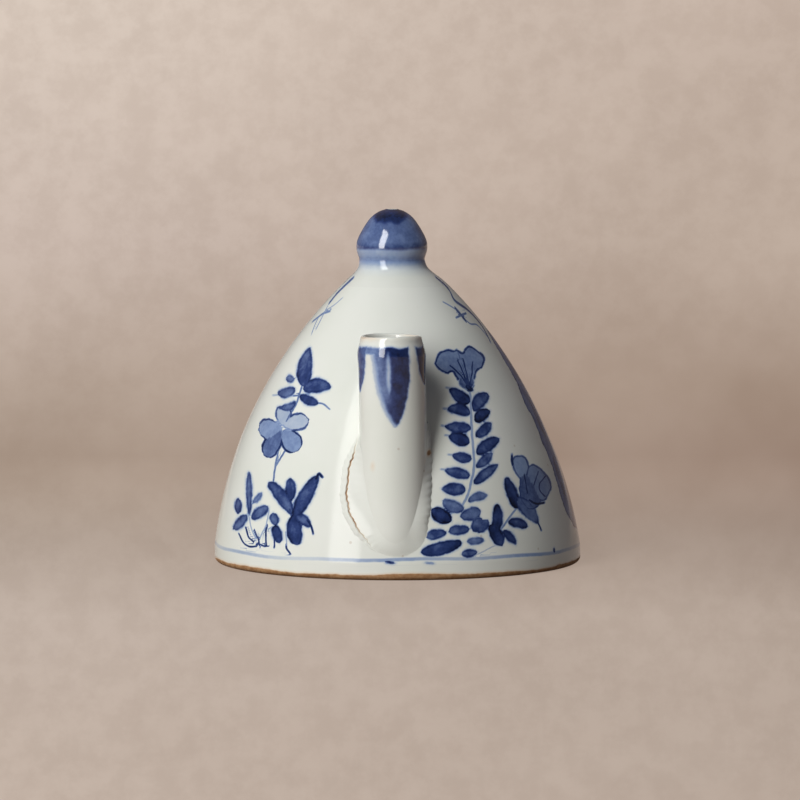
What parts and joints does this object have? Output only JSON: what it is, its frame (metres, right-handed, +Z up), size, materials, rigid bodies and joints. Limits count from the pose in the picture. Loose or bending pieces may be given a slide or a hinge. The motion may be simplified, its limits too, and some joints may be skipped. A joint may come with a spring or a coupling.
{
  "type": "calligraphy water dropper",
  "caption": "Bell-shaped porcelain water dropper with an upright tube spout at the front, a bud knob with an air hole, and a flat unglazed base.",
  "frame": {"origin": "centre of the foot, on the table plane", "axes": "+Z up along the bell's axis, -Y towards the spout, +X to the spout's right as seen from the front"},
  "size_m": [0.0702, 0.0711, 0.0675],
  "materials": {
    "glazed_porcelain": "clear glaze over cobalt painting",
    "biscuit": "unglazed, fired to a warm tan"
  },
  "bodies": {
    "root": {"bell_wall": "glazed_porcelain", "base_disc": "biscuit", "base_lute": "biscuit", "spout_tube": "glazed_porcelain", "spout_lute": "glazed_porcelain", "knob": "glazed_porcelain", "knob_lute": "glazed_porcelain"}
  },
  "joints": []
}
